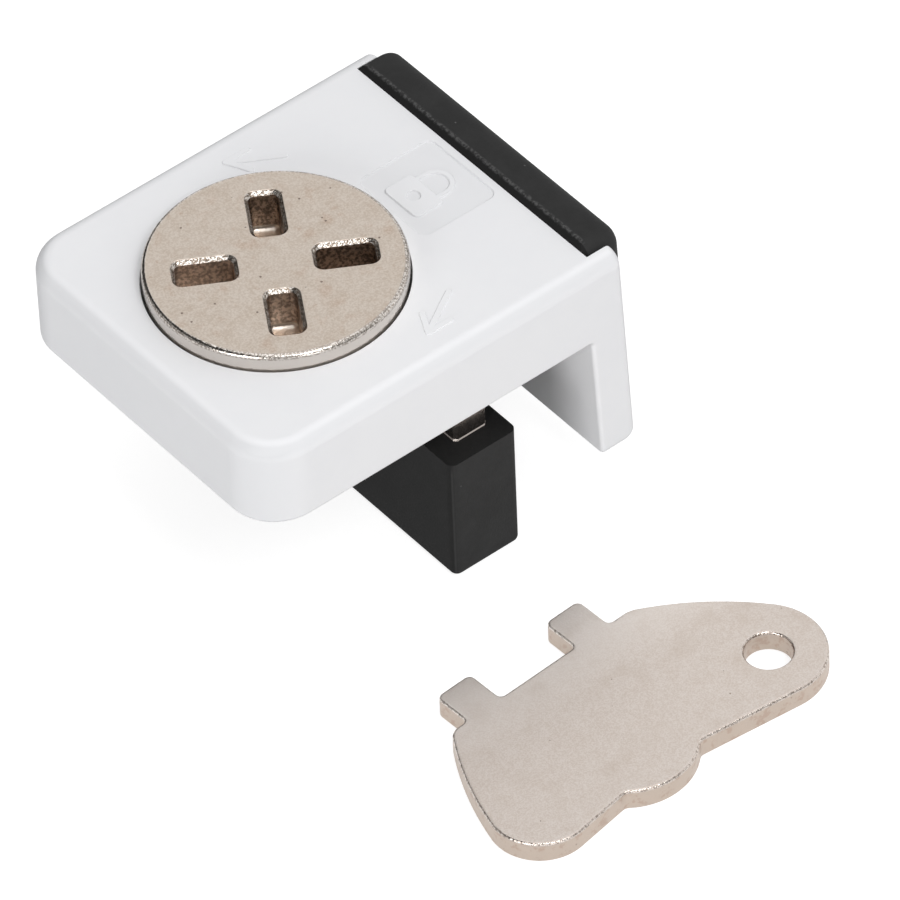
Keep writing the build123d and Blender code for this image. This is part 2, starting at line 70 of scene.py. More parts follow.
@dataclass(frozen=True)
class Mask:
    """Where a noise shows on a surface.

    Attributes:
        scale: Waves per metre.
        band: The noise's values between which it fades in.
        share: How strongly it shows at most.
        detail: Octaves.
        rough: How strong the finer octaves are.
    """

    scale: float
    band: Band
    share: float = 1.0
    detail: float = GRAIN_DETAIL
    rough: float = GRAIN_ROUGH


@dataclass(frozen=True)
class Specks:
    """Scattered round specks.

    Attributes:
        scale: Cells per metre, each with room for one speck.
        size: A speck's radius in cells.
        share: The share of the cells that has one.
    """

    scale: float
    size: float
    share: float


def scaled(colour: Colour, factor: float) -> Colour:
    """Return a colour made lighter or darker."""
    return tuple(part * factor for part in colour)


class Graph:
    """Adds and joins the nodes of one node tree."""

    def __init__(self, tree: bpy.types.NodeTree) -> None:
        """Take the tree that the nodes go into."""
        self.tree = tree

    def add(self, kind: str, **settings: object) -> bpy.types.Node:
        """Add a node.

        Args:
            kind: The node's type name.
            settings: Properties to set on it.

        Returns:
            The new node.
        """
        node = self.tree.nodes.new(kind)
        for name, value in settings.items():
            setattr(node, name, value)
        return node

    def feed(self, socket: Socket, source: Source) -> None:
        """Link a socket to another one, or give it a plain value.

        Args:
            socket: The input to feed.
            source: A socket, a number, a vector or a colour.
        """
        if isinstance(source, Socket):
            self.tree.links.new(source, socket)
        elif isinstance(source, tuple) and socket.type == "RGBA":
            socket.default_value = (*source, 1.0)
        else:
            socket.default_value = source

    def math(self, operation: str, *values: Source, clamp: bool = False) -> Socket:
        """Add a Math node.

        Args:
            operation: The node's operation.
            values: Its inputs, in order.
            clamp: Whether the result is kept between 0 and 1.

        Returns:
            The node's result.
        """
        node = self.add("ShaderNodeMath", operation=operation, use_clamp=clamp)
        for socket, value in zip(node.inputs, values):
            self.feed(socket, value)
        return node.outputs[0]

    def chain(self, operation: str, *values: Source) -> Source:
        """Join any number of values by one operation.

        Args:
            operation: The Math node's operation.
            values: The values, joined from the first to the last.

        Returns:
            The result.
        """
        result = values[0]
        for value in values[1:]:
            result = self.math(operation, result, value)
        return result

    def times(self, *values: Source) -> Source:
        """Multiply values."""
        return self.chain("MULTIPLY", *values)

    def largest(self, *values: Source) -> Source:
        """Return the largest of some values."""
        return self.chain("MAXIMUM", *values)

    def gap(self, value: Source, place: Source) -> Socket:
        """Return how far a value is from a place, on either side of it."""
        return self.math("ABSOLUTE", self.math("SUBTRACT", value, place))

    def span(self, value: Source, low: Source, high: Source, first: float = 0.0,
             last: float = 1.0) -> Socket:
        """Turn one stretch of a value smoothly into another.

        Args:
            value: The value to read.
            low: Where the stretch starts.
            high: Where it ends.
            first: The result at the start.
            last: The result at the end.

        Returns:
            The mapped value.
        """
        node = self.add("ShaderNodeMapRange", interpolation_type="SMOOTHSTEP")
        for socket, source in zip(node.inputs, (value, low, high, first, last)):
            self.feed(socket, source)
        return node.outputs[0]

    def rise(self, value: Source, band: Band, start: float = 0.0) -> Socket:
        """Go from 0 to 1 over a band of a value, which is measured from start."""
        return self.span(value, start + band[0], start + band[1])

    def fall(self, value: Source, band: Band, start: float = 0.0) -> Socket:
        """Go from 1 to 0 over a band of a value, which is measured from start."""
        return self.span(value, start + band[0], start + band[1], 1.0, 0.0)

    def noise(self, place: Source, scale: Source, detail: Source, rough: Source) -> Socket:
        """Add a Noise Texture.

        Args:
            place: The coordinates.
            scale: Waves per metre.
            detail: Octaves.
            rough: How strong the finer octaves are.

        Returns:
            The noise, around 0.5.
        """
        node = self.add("ShaderNodeTexNoise")
        self.feed(node.inputs["Vector"], place)
        self.feed(node.inputs["Scale"], scale)
        self.feed(node.inputs["Detail"], detail)
        self.feed(node.inputs["Roughness"], rough)
        return node.outputs[0]

    def _mix(self, data_type: str, kind: str, values: tuple[Source, Source, Source]) -> Socket:
        """Add a Mix node, whose sockets of each kind have their own identifiers.

        Args:
            data_type: The node's data type.
            kind: What the identifiers of its sockets end in.
            values: The share of the second value, the first value and the second.

        Returns:
            The mixed value.
        """
        node = self.add("ShaderNodeMix", data_type=data_type)
        given = {socket.identifier: socket for socket in node.inputs}
        for name, value in zip(("Factor_Float", f"A_{kind}", f"B_{kind}"), values):
            self.feed(given[name], value)
        return next(socket for socket in node.outputs if socket.identifier == f"Result_{kind}")

    def blend(self, share: Source, first: Source, second: Source) -> Socket:
        """Mix two colours, with a share of the second."""
        return self._mix("RGBA", "Color", (share, first, second))

    def between(self, share: Source, first: Source, second: Source) -> Socket:
        """Mix two numbers, with a share of the second."""
        return self._mix("FLOAT", "Float", (share, first, second))


class Effects:
    """The effects that several finishes share, each a node group built once."""

    patch_fine_share: float = 0.4
    patch_band: Band = (0.36, 0.66)

    def __init__(self) -> None:
        """Build the four groups."""
        self.mottle = self._group("Mottle", ("Scale", "Fineness"), "Patches", self._mottle)
        self.specks = self._group("Specks", ("Scale", "Size", "Share"), "Speck", self._specks)
        self.grain = self._group("Grain", ("Scale",), "Height", self._grain)
        self.mask = self._group(
            "Mask", ("Scale", "Detail", "Roughness", "Low", "High"), "Shown", self._mask)

    @staticmethod
    def _group(name: str, inputs: tuple[str, ...], output: str,
               recipe: Callable[[Graph, dict[str, Socket]], Source]) -> bpy.types.NodeTree:
        """Build one group, which reads the coordinates and some numbers.

        Args:
            name: The group's name.
            inputs: The names of the numbers.
            output: The name of its one output.
            recipe: Makes the result in the graph from the inputs by name.

        Returns:
            The group.
        """
        tree = bpy.data.node_groups.new(name, "ShaderNodeTree")
        tree.interface.new_socket(name="Place", in_out="INPUT", socket_type="NodeSocketVector")
        for title in inputs:
            tree.interface.new_socket(name=title, in_out="INPUT", socket_type="NodeSocketFloat")
        tree.interface.new_socket(name=output, in_out="OUTPUT", socket_type="NodeSocketFloat")
        graph = Graph(tree)
        entry = graph.add("NodeGroupInput")
        leave = graph.add("NodeGroupOutput")
        given = {title: entry.outputs[title] for title in ("Place", *inputs)}
        graph.feed(leave.inputs[output], recipe(graph, given))
        return tree

    def _mottle(self, graph: Graph, given: dict[str, Socket]) -> Source:
        """Make cloudy patches with finer ones inside.

        Args:
            graph: The group's graph.
            given: Its inputs by name.

        Returns:
            The patches, from 0 to 1.
        """
        wide = graph.noise(given["Place"], given["Scale"], detail=2.0, rough=0.5)
        fine_scale = graph.times(given["Scale"], given["Fineness"])
        fine = graph.noise(given["Place"], fine_scale, detail=3.0, rough=0.6)
        both = graph.math("ADD", graph.times(wide, 1.0 - self.patch_fine_share),
                          graph.times(fine, self.patch_fine_share))
        return graph.rise(both, self.patch_band)

    @staticmethod
    def _specks(graph: Graph, given: dict[str, Socket]) -> Source:
        """Make small scattered specks.

        Args:
            graph: The group's graph.
            given: Its inputs by name.

        Returns:
            1 in a speck and 0 around it.
        """
        cells = graph.add("ShaderNodeTexVoronoi")
        graph.feed(cells.inputs["Vector"], given["Place"])
        graph.feed(cells.inputs["Scale"], given["Scale"])
        near = graph.math("LESS_THAN", cells.outputs["Distance"], given["Size"])
        split = graph.add("ShaderNodeSeparateColor")
        graph.feed(split.inputs["Color"], cells.outputs["Color"])
        chosen = graph.math("LESS_THAN", split.outputs["Red"], given["Share"])
        return graph.times(near, chosen)

    @staticmethod
    def _grain(graph: Graph, given: dict[str, Socket]) -> Source:
        """Make a fine uneven height."""
        return graph.noise(given["Place"], given["Scale"], GRAIN_DETAIL, GRAIN_ROUGH)

    @staticmethod
    def _mask(graph: Graph, given: dict[str, Socket]) -> Source:
        """Make a noise of which one band fades in, from 0 to 1."""
        noise = graph.noise(given["Place"], given["Scale"], given["Detail"], given["Roughness"])
        return graph.span(noise, given["Low"], given["High"])


class Surface:
    """One material with its Principled shader, coordinates and graph."""

    def __init__(self, slot: Slot, effects: Effects) -> None:
        """Start an empty material.

        Args:
            slot: The record's slot that it is for.
            effects: The shared effects.
        """
        self.material = bpy.data.materials.new(slot.value)
        self.material.use_nodes = True
        tree = self.material.node_tree
        self.shader = tree.nodes["Principled BSDF"]
        self.graph = Graph(tree)
        self.effects = effects
        self.place = self.graph.add("ShaderNodeTexCoord").outputs["Object"]

    def put(self, name: str, source: Source) -> None:
        """Give one input of the shader a value or a link."""
        self.graph.feed(self.shader.inputs[name], source)

    def parts(self) -> list[Socket]:
        """Split the coordinates.

        Returns:
            X, Y and Z.
        """
        split = self.graph.add("ShaderNodeSeparateXYZ")
        self.graph.feed(split.inputs[0], self.place)
        return list(split.outputs)

    def bump(self, height: Source, depth: float) -> None:
        """Feed the shader's normal from a height.

        Args:
            height: The height, from 0 to 1.
            depth: What 1 stands for, in metres.
        """
        node = self.graph.add("ShaderNodeBump")
        node.inputs["Strength"].default_value = 1.0
        node.inputs["Distance"].default_value = depth
        self.graph.feed(node.inputs["Height"], height)
        self.put("Normal", node.outputs["Normal"])

    def effect(self, group: bpy.types.NodeTree, **values: Source) -> Socket:
        """Place a shared effect.

        Args:
            group: The effect's node group.
            values: Its numbers by name.

        Returns:
            Its one output.
        """
        node = self.graph.add("ShaderNodeGroup", node_tree=group)
        for name, value in {"Place": self.place, **values}.items():
            self.graph.feed(node.inputs[name], value)
        return node.outputs[0]

    def mottle(self, scale: float, fineness: float = 5.0) -> Socket:
        """Return cloudy patches, with finer ones inside at a multiple of their scale."""
        return self.effect(self.effects.mottle, Scale=scale, Fineness=fineness)

    def specks(self, specks: Specks) -> Socket:
        """Return 1 in scattered specks and 0 around them."""
        return self.effect(self.effects.specks, Scale=specks.scale, Size=specks.size,
                           Share=specks.share)

    def grain(self, scale: float) -> Socket:
        """Return a fine uneven height."""
        return self.effect(self.effects.grain, Scale=scale)

    def mask(self, mask: Mask) -> Socket:
        """Find where a noise shows.

        Args:
            mask: The noise, its band and its strength.

        Returns:
            How strongly it shows.
        """
        low, high = mask.band
        shown = self.effect(self.effects.mask, Scale=mask.scale, Detail=mask.detail,
                            Roughness=mask.rough, Low=low, High=high)
        return self.graph.times(shown, mask.share)


@dataclass(frozen=True, kw_only=True)
class Finish(ABC):
    """What every finish has: the record's slot, and a way to make its material."""

    slot: Slot

    def build(self, effects: Effects) -> bpy.types.Material:
        """Make the material.

        Args:
            effects: The shared effects.

        Returns:
            The material, named as its slot.
        """
        surface = Surface(self.slot, effects)
        self.cover(surface)
        return surface.material

    @abstractmethod
    def cover(self, surface: Surface) -> None:
        """Give a surface the finish's colour, gloss and relief."""


@dataclass(frozen=True, kw_only=True)
class PowderCoat(Finish):
    """White powder coat with a faint orange peel, and painted shade on rounded edges and small
    slopes.

    The plate's top is at level 0, with raised marks and a sunk field on it. The heights on its
    rounding are shares of edge_round, and the upright corners start at corner_x and corner_y.
    """

    corner_x: float
    corner_y: float
    mark: float
    marks_half: float
    field: float = -0.14 * MM
    colour: Colour = (0.862, 0.865, 0.881)
    shade: Colour = (0.847, 0.851, 0.870)
    shade_scale: float = 70.0
    painted_edge_shade: Colour = (0.71, 0.714, 0.73)
    roughness: float = 0.46
    specular: float = 0.14
    peel_scale: float = 1100.0
    peel_depth: float = 0.012 * MM
    edge_round: float = 1.7 * MM
    edge_foot: Band = (-1.0, -0.35)
    edge_brow: Band = (-0.22, -0.012)
    edge_share: float = 0.8
    corner_fade: float = 3.6 * MM
    corner_share: float = 0.5
    flat_margin: float = 0.006 * MM
    slope_share: float = 0.72

    def cover(self, surface: Surface) -> None:
        """Give the coat its colour with painted shade, its gloss and orange peel.

        Args:
            surface: The surface to cover.
        """
        graph = surface.graph
        colour = graph.blend(surface.mottle(self.shade_scale), self.colour, self.shade)
        # Painted shade: the coat is darkened on the rounded edges, the upright corners and the
        # slopes round the marks.
        painted_shade_share = graph.largest(self._on_edge(surface), self._on_slope(surface))
        surface.put("Base Color", graph.blend(painted_shade_share, colour, self.painted_edge_shade))
        surface.put("Roughness", self.roughness)
        surface.put("Specular IOR Level", self.specular)
        surface.bump(surface.grain(self.peel_scale), self.peel_depth)

    def _on_edge(self, surface: Surface) -> Source:
        """Find the rounded upper edge and the upright corners.

        Args:
            surface: The coated surface.

        Returns:
            How much painted shade goes there.
        """
        graph = surface.graph
        across, along, level = surface.parts()
        height = graph.math("DIVIDE", level, self.edge_round)
        edge = graph.times(graph.rise(height, self.edge_foot), self.edge_share)
        sideways = graph.math("ABSOLUTE", along)
        corner = graph.times(graph.rise(across, (0.0, -self.corner_fade), self.corner_x),
                             graph.rise(sideways, (0.0, self.corner_fade), self.corner_y),
                             self.corner_share)
        rounded = graph.math("ADD", edge, corner, clamp=True)
        return graph.times(rounded, graph.fall(height, self.edge_brow))

    def _on_slope(self, surface: Surface) -> Source:
        """Find the small slopes round the raised marks and the sunk field.

        Args:
            surface: The coated surface.

        Returns:
            How much painted shade goes there, and 0 on every flat.
        """
        graph = surface.graph
        across, along, level = surface.parts()
        sideways = graph.math("ABSOLUTE", along)
        inside = graph.times(graph.math("GREATER_THAN", across, 0.0),
                             graph.math("LESS_THAN", sideways, self.marks_half))
        gaps = [graph.gap(level, flat) for flat in (self.field, 0.0, self.mark)]
        nearest = graph.chain("MINIMUM", *gaps)
        sloping = graph.times(graph.math("GREATER_THAN", nearest, self.flat_margin),
                              graph.math("GREATER_THAN", level, self.field))
        return graph.times(inside, sloping, self.slope_share)


@dataclass(frozen=True, kw_only=True)
class Rubber(Finish):
    """Matte black rubber with fine grain and a little pale dust."""

    colour: Colour
    pale: float = 1.18
    pale_scale: float = 260.0
    dust: Colour = (0.09, 0.09, 0.09)
    dusty: Specks = Specks(scale=1500.0, size=0.16, share=0.012)
    roughness: float = 0.66
    specular: float = 0.12
    grain_scale: float = 4200.0
    grain_depth: float = 0.02 * MM

    def cover(self, surface: Surface) -> None:
        """Give the rubber its colour, painted light and shade, dullness and grain.

        Args:
            surface: The surface to cover.
        """
        graph = surface.graph
        patches = surface.mottle(self.pale_scale)
        colour = graph.blend(patches, self.colour, scaled(self.colour, self.pale))
        colour = graph.blend(surface.specks(self.dusty), colour, self.dust)
        surface.put("Base Color", self.painted_light(surface, colour))
        surface.put("Roughness", self.roughness)
        surface.put("Specular IOR Level", self.specular)
        surface.bump(surface.grain(self.grain_scale), self.grain_depth)

    @abstractmethod
    def painted_light(self, surface: Surface, colour: Source) -> Source:
        """Return the colour with the piece's own painted light and shade."""


@dataclass(frozen=True, kw_only=True)
class StripRubber(Rubber):
    """The buffer strip: painted shade on its inner slope and a speckled painted highlight on the
    ridge.

    The slope and the ridge are measured across, from the strip's inner edge.
    """

    slot: Slot = Slot.BLACK_STRIP
    inner_edge: float
    colour: Colour = (0.028, 0.028, 0.028)
    painted_shade_colour: Colour = (0.006, 0.006, 0.006)
    slope_shade_share: float = 0.7
    slope_end: Band = (0.51 * MM, 0.66 * MM)
    ridge_highlight: Colour = (0.095, 0.095, 0.095)
    ridge_highlight_speckle: Mask = Mask(scale=3000.0, band=(0.40, 0.60), share=0.8)
    ridge: float = 0.74 * MM
    ridge_width: Band = (0.05 * MM, 0.32 * MM)
    ridge_level: Band = (0.3 * MM, 0.45 * MM)

    def painted_light(self, surface: Surface, colour: Source) -> Source:
        """Add the painted shade on the slope and the painted highlight on the ridge.

        Args:
            surface: The strip's surface.
            colour: Its plain colour.

        Returns:
            The colour with painted light and shade.
        """
        graph = surface.graph
        across, _, level = surface.parts()
        # Painted shade darkens the inner slope.
        on_slope = graph.fall(across, self.slope_end, self.inner_edge)
        colour = graph.blend(graph.times(on_slope, self.slope_shade_share), colour, self.painted_shade_colour)
        # Painted highlight along the ridge, speckled by a noise mask.
        apart = graph.gap(across, self.inner_edge + self.ridge)
        on_ridge = graph.times(graph.fall(apart, self.ridge_width),
                               graph.rise(level, self.ridge_level))
        return graph.blend(graph.times(on_ridge, surface.mask(self.ridge_highlight_speckle)), colour, self.ridge_highlight)


@dataclass(frozen=True, kw_only=True)
class ShoeRubber(Rubber):
    """The shoe's rubber: painted shade on top, back and foot; painted highlights on corner and
    hem.

    Top, back, near and foot are the places of those sides; the foot is where its rounding starts.
    """

    slot: Slot = Slot.BLACK_RUBBER
    top: float
    back: float
    near: float
    foot: float
    colour: Colour = (0.027, 0.027, 0.027)
    painted_shade_colour: Colour = (0.005, 0.005, 0.005)
    top_fade: Band = (-0.1 * MM, -0.02 * MM)
    top_share: float = 0.6
    back_fade: Band = (0.2 * MM, 0.5 * MM)
    back_share: float = 0.62
    foot_fade: Band = (-0.12 * MM, 0.0)
    foot_share: float = 0.85
    painted_highlight: Colour = (0.05, 0.05, 0.05)
    highlight_share: float = 0.5
    highlight_top: Band = (-1.6 * MM, -0.1 * MM)
    corner_width: Band = (0.03 * MM, 0.26 * MM)
    corner_reach: Band = (0.9 * MM, 1.1 * MM)
    hem_width: Band = (0.02 * MM, 0.16 * MM)
    hem_reach: Band = (0.1 * MM, 0.3 * MM)

    def painted_light(self, surface: Surface, colour: Source) -> Source:
        """Add the painted shade on three sides and the two painted highlights.

        Args:
            surface: The shoe's surface.
            colour: Its plain colour.

        Returns:
            The colour with painted light and shade.
        """
        graph = surface.graph
        across, along, level = surface.parts()
        inwards = graph.math("SUBTRACT", across, self.back)
        forwards = graph.math("SUBTRACT", along, self.near)
        # Painted shade on the top, the back and the foot.
        on_top = graph.times(graph.rise(level, self.top_fade, self.top), self.top_share)
        on_back = graph.times(graph.fall(inwards, self.back_fade), self.back_share)
        on_foot = graph.times(graph.fall(level, self.foot_fade, self.foot), self.foot_share)
        colour = graph.blend(graph.largest(on_top, on_back, on_foot), colour, self.painted_shade_colour)
        # Painted highlights along the upright corner between back and near sides, and along the
        # hem above the foot.
        corner = graph.times(graph.fall(graph.gap(inwards, forwards), self.corner_width),
                             graph.fall(graph.math("ADD", inwards, forwards), self.corner_reach))
        hem = graph.times(graph.fall(graph.gap(level, self.foot), self.hem_width),
                          graph.fall(forwards, self.hem_reach))
        below_top = graph.fall(level, self.highlight_top, self.top)
        highlights = graph.times(graph.largest(corner, hem), below_top, self.highlight_share)
        return graph.blend(highlights, colour, self.painted_highlight)


@dataclass(frozen=True, kw_only=True)
class SatinNickel(Finish):
    """Grainy satin nickel plate with faint patches, pale grains and a few dark pits."""

    colour: Colour
    patch: Colour
    patch_scale: float = 620.0
    salt: Colour = (0.9, 0.86, 0.83)
    salted: Mask = Mask(scale=6400.0, band=(0.38, 0.62), share=0.14)
    pit: Colour = (0.36, 0.29, 0.24)
    pitted: Specks = Specks(scale=1300.0, size=0.13, share=0.035)
    roughness: Band
    grain_scale: float = 4200.0
    grain_depth: float = 0.02 * MM

    def cover(self, surface: Surface) -> None:
        """Give the plate its colour, shine and grain.

        Args:
            surface: The surface to cover.
        """
        graph = surface.graph
        patches = surface.mottle(self.patch_scale)
        colour = graph.blend(patches, self.colour, self.patch)
        colour = graph.blend(surface.mask(self.salted), colour, self.salt)
        colour = graph.blend(surface.specks(self.pitted), self.stains_and_painted_light(surface, colour), self.pit)
        surface.put("Base Color", colour)
        surface.put("Metallic", 1.0)
        rough = graph.between(patches, *self.roughness)
        surface.put("Roughness", self.polished(surface, rough))
        surface.bump(self.relief(surface), self.grain_depth)

    def stains_and_painted_light(self, surface: Surface, colour: Source) -> Source:
        """Return the colour with the piece's own stains and painted light, here none."""
        return colour

    def polished(self, surface: Surface, rough: Source) -> Source:
        """Return the roughness with the piece's own polish, here none."""
        return rough

    def relief(self, surface: Surface) -> Source:
        """Return the surface's height: its grain."""
        return surface.grain(self.grain_scale)


@dataclass(frozen=True, kw_only=True)
class LegNickel(SatinNickel):
    """The leg's plate, with a bright rolled burr where it enters the shoe."""

    slot: Slot = Slot.PLATED_LEG
    shoe_top: float
    colour: Colour = (0.56, 0.50, 0.46)
    patch: Colour = (0.54, 0.48, 0.44)
    roughness: Band = (0.22, 0.27)
    burr: float = 0.32 * MM
    burr_grains: float = 13.0

    def relief(self, surface: Surface) -> Source:
        """Let the burr slope outwards above the shoe, as many grains deep as it says.

        Args:
            surface: The leg's surface.

        Returns:
            The height.
        """
        graph = surface.graph
        _, _, level = surface.parts()
        burr = graph.span(level, self.shoe_top, self.shoe_top + self.burr, self.burr_grains, 0.0)
        return graph.math("ADD", burr, surface.grain(self.grain_scale))


@dataclass(frozen=True, kw_only=True)
class KeyNickel(SatinNickel):
    """The key's plate: grainy face, painted light on the prongs, polished edges, stained sides.

    The side and the edge are measured from the key's top, and the prongs lie along Y.
    """

    slot: Slot = Slot.PLATED_KEY
    top: float
    colour: Colour = (0.65, 0.572, 0.514)
    patch: Colour = (0.63, 0.546, 0.484)
    roughness: Band = (0.34, 0.39)
    salted: Mask = Mask(scale=6400.0, band=(0.38, 0.62), share=0.3)
    painted_prong_light: Colour = (0.88, 0.82, 0.77)
    prong_light_along: Band = (-45.0 * MM, -35.0 * MM)
    prong_light_share: float = 0.6
    cloudy: Mask = Mask(scale=240.0, band=(0.52, 0.74), share=0.3, detail=3.0, rough=0.5)
    side: Colour = (0.58, 0.49, 0.42)
    side_top: Band = (-0.38 * MM, -0.3 * MM)
    stain: Colour = (0.47, 0.34, 0.27)
    stain_scale: float = 900.0
    stain_fineness: float = 3.0
    stain_band: Band = (0.55, 0.95)
    stain_share: float = 0.6
    fleck: Colour = (0.22, 0.17, 0.14)
    flecked: Mask = Mask(scale=3400.0, band=(0.50, 0.60), share=0.7)
    edge_foot: Band = (-0.36 * MM, -0.27 * MM)
    edge_brow: Band = (-0.04 * MM, -0.008 * MM)
    edge_roughness: float = 0.16
    edge_relief: float = 3.0

    def stains_and_painted_light(self, surface: Surface, colour: Source) -> Source:
        """Add the painted light on the prongs, faint clouds, stained sides and flecked edges.

        Args:
            surface: The key's surface.
            colour: Its plain colour.

        Returns:
            The stained colour.
        """
        graph = surface.graph
        _, along, level = surface.parts()
        # Painted light: the prongs are made paler.
        prongs = graph.times(graph.rise(along, self.prong_light_along), self.prong_light_share)
        colour = graph.blend(prongs, colour, self.painted_prong_light)
        colour = graph.blend(surface.mask(self.cloudy), colour, self.side)
        spots = graph.rise(surface.mottle(self.stain_scale, self.stain_fineness), self.stain_band)
        side = graph.blend(graph.times(spots, self.stain_share), self.side, self.stain)
        colour = graph.blend(graph.fall(level, self.side_top, self.top), colour, side)
        flecks = graph.times(surface.mask(self.flecked), self._on_edge(surface))
        return graph.blend(flecks, colour, self.fleck)

    def polished(self, surface: Surface, rough: Source) -> Source:
        """Return the roughness, lower round the upper edge."""
        return surface.graph.between(self._on_edge(surface), rough, self.edge_roughness)

    def relief(self, surface: Surface) -> Source:
        """Make the grain deeper round the upper edge.

        Args:
            surface: The key's surface.

        Returns:
            The height.
        """
        graph = surface.graph
        depth = graph.between(self._on_edge(surface), 1.0, self.edge_relief)
        return graph.times(surface.grain(self.grain_scale), depth)

    def _on_edge(self, surface: Surface) -> Source:
        """Find the upper edge's rounding.

        Args:
            surface: The key's surface.

        Returns:
            1 on the edge and 0 elsewhere.
        """
        graph = surface.graph
        _, _, level = surface.parts()
        return graph.times(graph.rise(level, self.edge_foot, self.top),
                           graph.fall(level, self.edge_brow, self.top))


@dataclass(frozen=True)
class DiscZones:
    """Where the parts of the disc's surface are: each is 1 there and 0 elsewhere."""

    pocket: Source
    floor: Source
    lip: Source
    rim: Source
    edge: Source


@dataclass(frozen=True, kw_only=True)
class DiscNickel(Finish):
    """The disc's plate: mottled satin top, polished rim and lips, painted shade and light in
    pockets.

    The lips are the bevels round the pockets. Levels are measured from the disc's top, the rim
    from the disc's radius, and the rounding round a pocket's floor from that floor.
    """

    slot: Slot = Slot.PLATED_DISC
    radius: float
    top: float
    pocket_floor: float
    colour: Colour = (0.592, 0.514, 0.442)
    patch: Colour = (0.555, 0.468, 0.390)
    patch_scale: float = 700.0
    roughness: Band = (0.33, 0.38)
    stain: Colour = (0.49, 0.36, 0.272)
    wide_stains: Mask = Mask(scale=430.0, band=(0.58, 0.76), share=0.5, detail=1.0, rough=0.5)
    small_stains: Mask = Mask(scale=1150.0, band=(0.60, 0.76), share=0.5, detail=2.0, rough=0.5)
    salt: Colour = (0.87, 0.81, 0.745)
    salted: Mask = Mask(scale=5200.0, band=(0.40, 0.62), share=0.28)
    pit: Colour = (0.24, 0.19, 0.16)
    pitted: Specks = Specks(scale=1200.0, size=0.15, share=0.09)
    rim: Colour = (0.69, 0.645, 0.60)
    rim_start: Band = (-0.51 * MM, -0.41 * MM)
    rim_flecks: float = 0.6
    rim_flecks_level: Band = (-0.62 * MM, -0.5 * MM)
    lip: Colour = (0.60, 0.56, 0.52)
    lip_flecks: float = 0.95
    lip_top: Band = (-0.05 * MM, -0.01 * MM)
    lip_end: Band = (-0.47 * MM, -0.39 * MM)
    fleck: Colour = (0.17, 0.13, 0.10)
    flecked: Mask = Mask(scale=4800.0, band=(0.44, 0.55))
    edge_roughness: float = 0.11
    pocket_reach: Band = (11.0 * MM, 11.05 * MM)
    painted_wall_shade: Colour = (0.255, 0.187, 0.142)
    painted_wall_light: Colour = (0.74, 0.61, 0.52)
    light_across: Band = (4.0 * MM, -8.0 * MM)
    grit: Mask = Mask(scale=2600.0, band=(0.40, 0.62))
    grit_dim: float = 0.62
    wall_clear: float = 1.9
    light_wall_clear: float = 1.2
    wall_roughness: float = 0.42
    floor: Colour = (0.74, 0.665, 0.59)
    floor_end: Band = (0.45 * MM, 0.65 * MM)
    floor_roughness: float = 0.28
    lump_scale: float = 2600.0
    lump_depth: float = 0.8
    grain_scale: float = 4600.0
    grain_depth: float = 0.3
    lip_grain_depth: float = 1.2
    relief_depth: float = 0.05 * MM

    def cover(self, surface: Surface) -> None:
        """Give the disc its colours, shine and relief.

        Args:
            surface: The surface to cover.
        """
        graph = surface.graph
        zones = self._zones(surface)
        patches = surface.mottle(self.patch_scale)
        face = graph.blend(zones.edge, self._face(surface, patches), self._edge(surface, zones))
        surface.put("Base Color", graph.blend(zones.pocket, face, self._pocket(surface, zones)))
        surface.put("Metallic", 1.0)
        rough = graph.between(patches, *self.roughness)
        rough = graph.between(zones.edge, rough, self.edge_roughness)
        sunk_rough = graph.between(zones.floor, self.wall_roughness, self.floor_roughness)
        surface.put("Roughness", graph.between(zones.pocket, rough, sunk_rough))
        lumps = graph.times(surface.grain(self.lump_scale), zones.rim, self.lump_depth)
        depth = graph.between(zones.lip, self.grain_depth, self.lip_grain_depth)
        grain = graph.times(surface.grain(self.grain_scale), depth)
        surface.bump(graph.math("ADD", lumps, grain), self.relief_depth)

    def _zones(self, surface: Surface) -> DiscZones:
        """Find the pockets, their floors and lips, and the rim.

        Args:
            surface: The disc's surface.

        Returns:
            The zones.
        """
        graph = surface.graph
        across, along, level = surface.parts()
        squares = graph.math("ADD", graph.times(across, across), graph.times(along, along))
        radius = graph.math("SQRT", squares)
        inside = graph.fall(radius, self.pocket_reach)
        lip = graph.times(inside, graph.fall(level, self.lip_top, self.top))
        rim = graph.rise(radius, self.rim_start, self.radius)
        return DiscZones(
            pocket=graph.times(inside, graph.fall(level, self.lip_end, self.top)),
            floor=graph.fall(level, self.floor_end, self.pocket_floor),
            lip=lip,
            rim=rim,
            edge=graph.largest(rim, lip),
        )

    def _face(self, surface: Surface, patches: Source) -> Source:
        """Make the colour of the disc's top.

        Args:
            surface: The disc's surface.
            patches: Its cloudy patches.

        Returns:
            The colour.
        """
        graph = surface.graph
        face = graph.blend(patches, self.colour, self.patch)
        stains = graph.largest(surface.mask(self.wide_stains), surface.mask(self.small_stains))
        face = graph.blend(stains, face, self.stain)
        face = graph.blend(surface.mask(self.salted), face, self.salt)
        return graph.blend(surface.specks(self.pitted), face, self.pit)

    def _edge(self, surface: Surface, zones: DiscZones) -> Source:
        """Make the colour of the rim and the lips, with dark flecks in it.

        Args:
            surface: The disc's surface.
            zones: Where its parts are.

        Returns:
            The colour.
        """
        graph = surface.graph
        _, _, level = surface.parts()
        upper = graph.rise(level, self.rim_flecks_level, self.top)
        ragged = graph.times(graph.between(zones.lip, upper, 1.0),
                             graph.between(zones.lip, self.rim_flecks, self.lip_flecks))
        edge = graph.blend(zones.lip, self.rim, self.lip)
        return graph.blend(graph.times(surface.mask(self.flecked), ragged), edge, self.fleck)

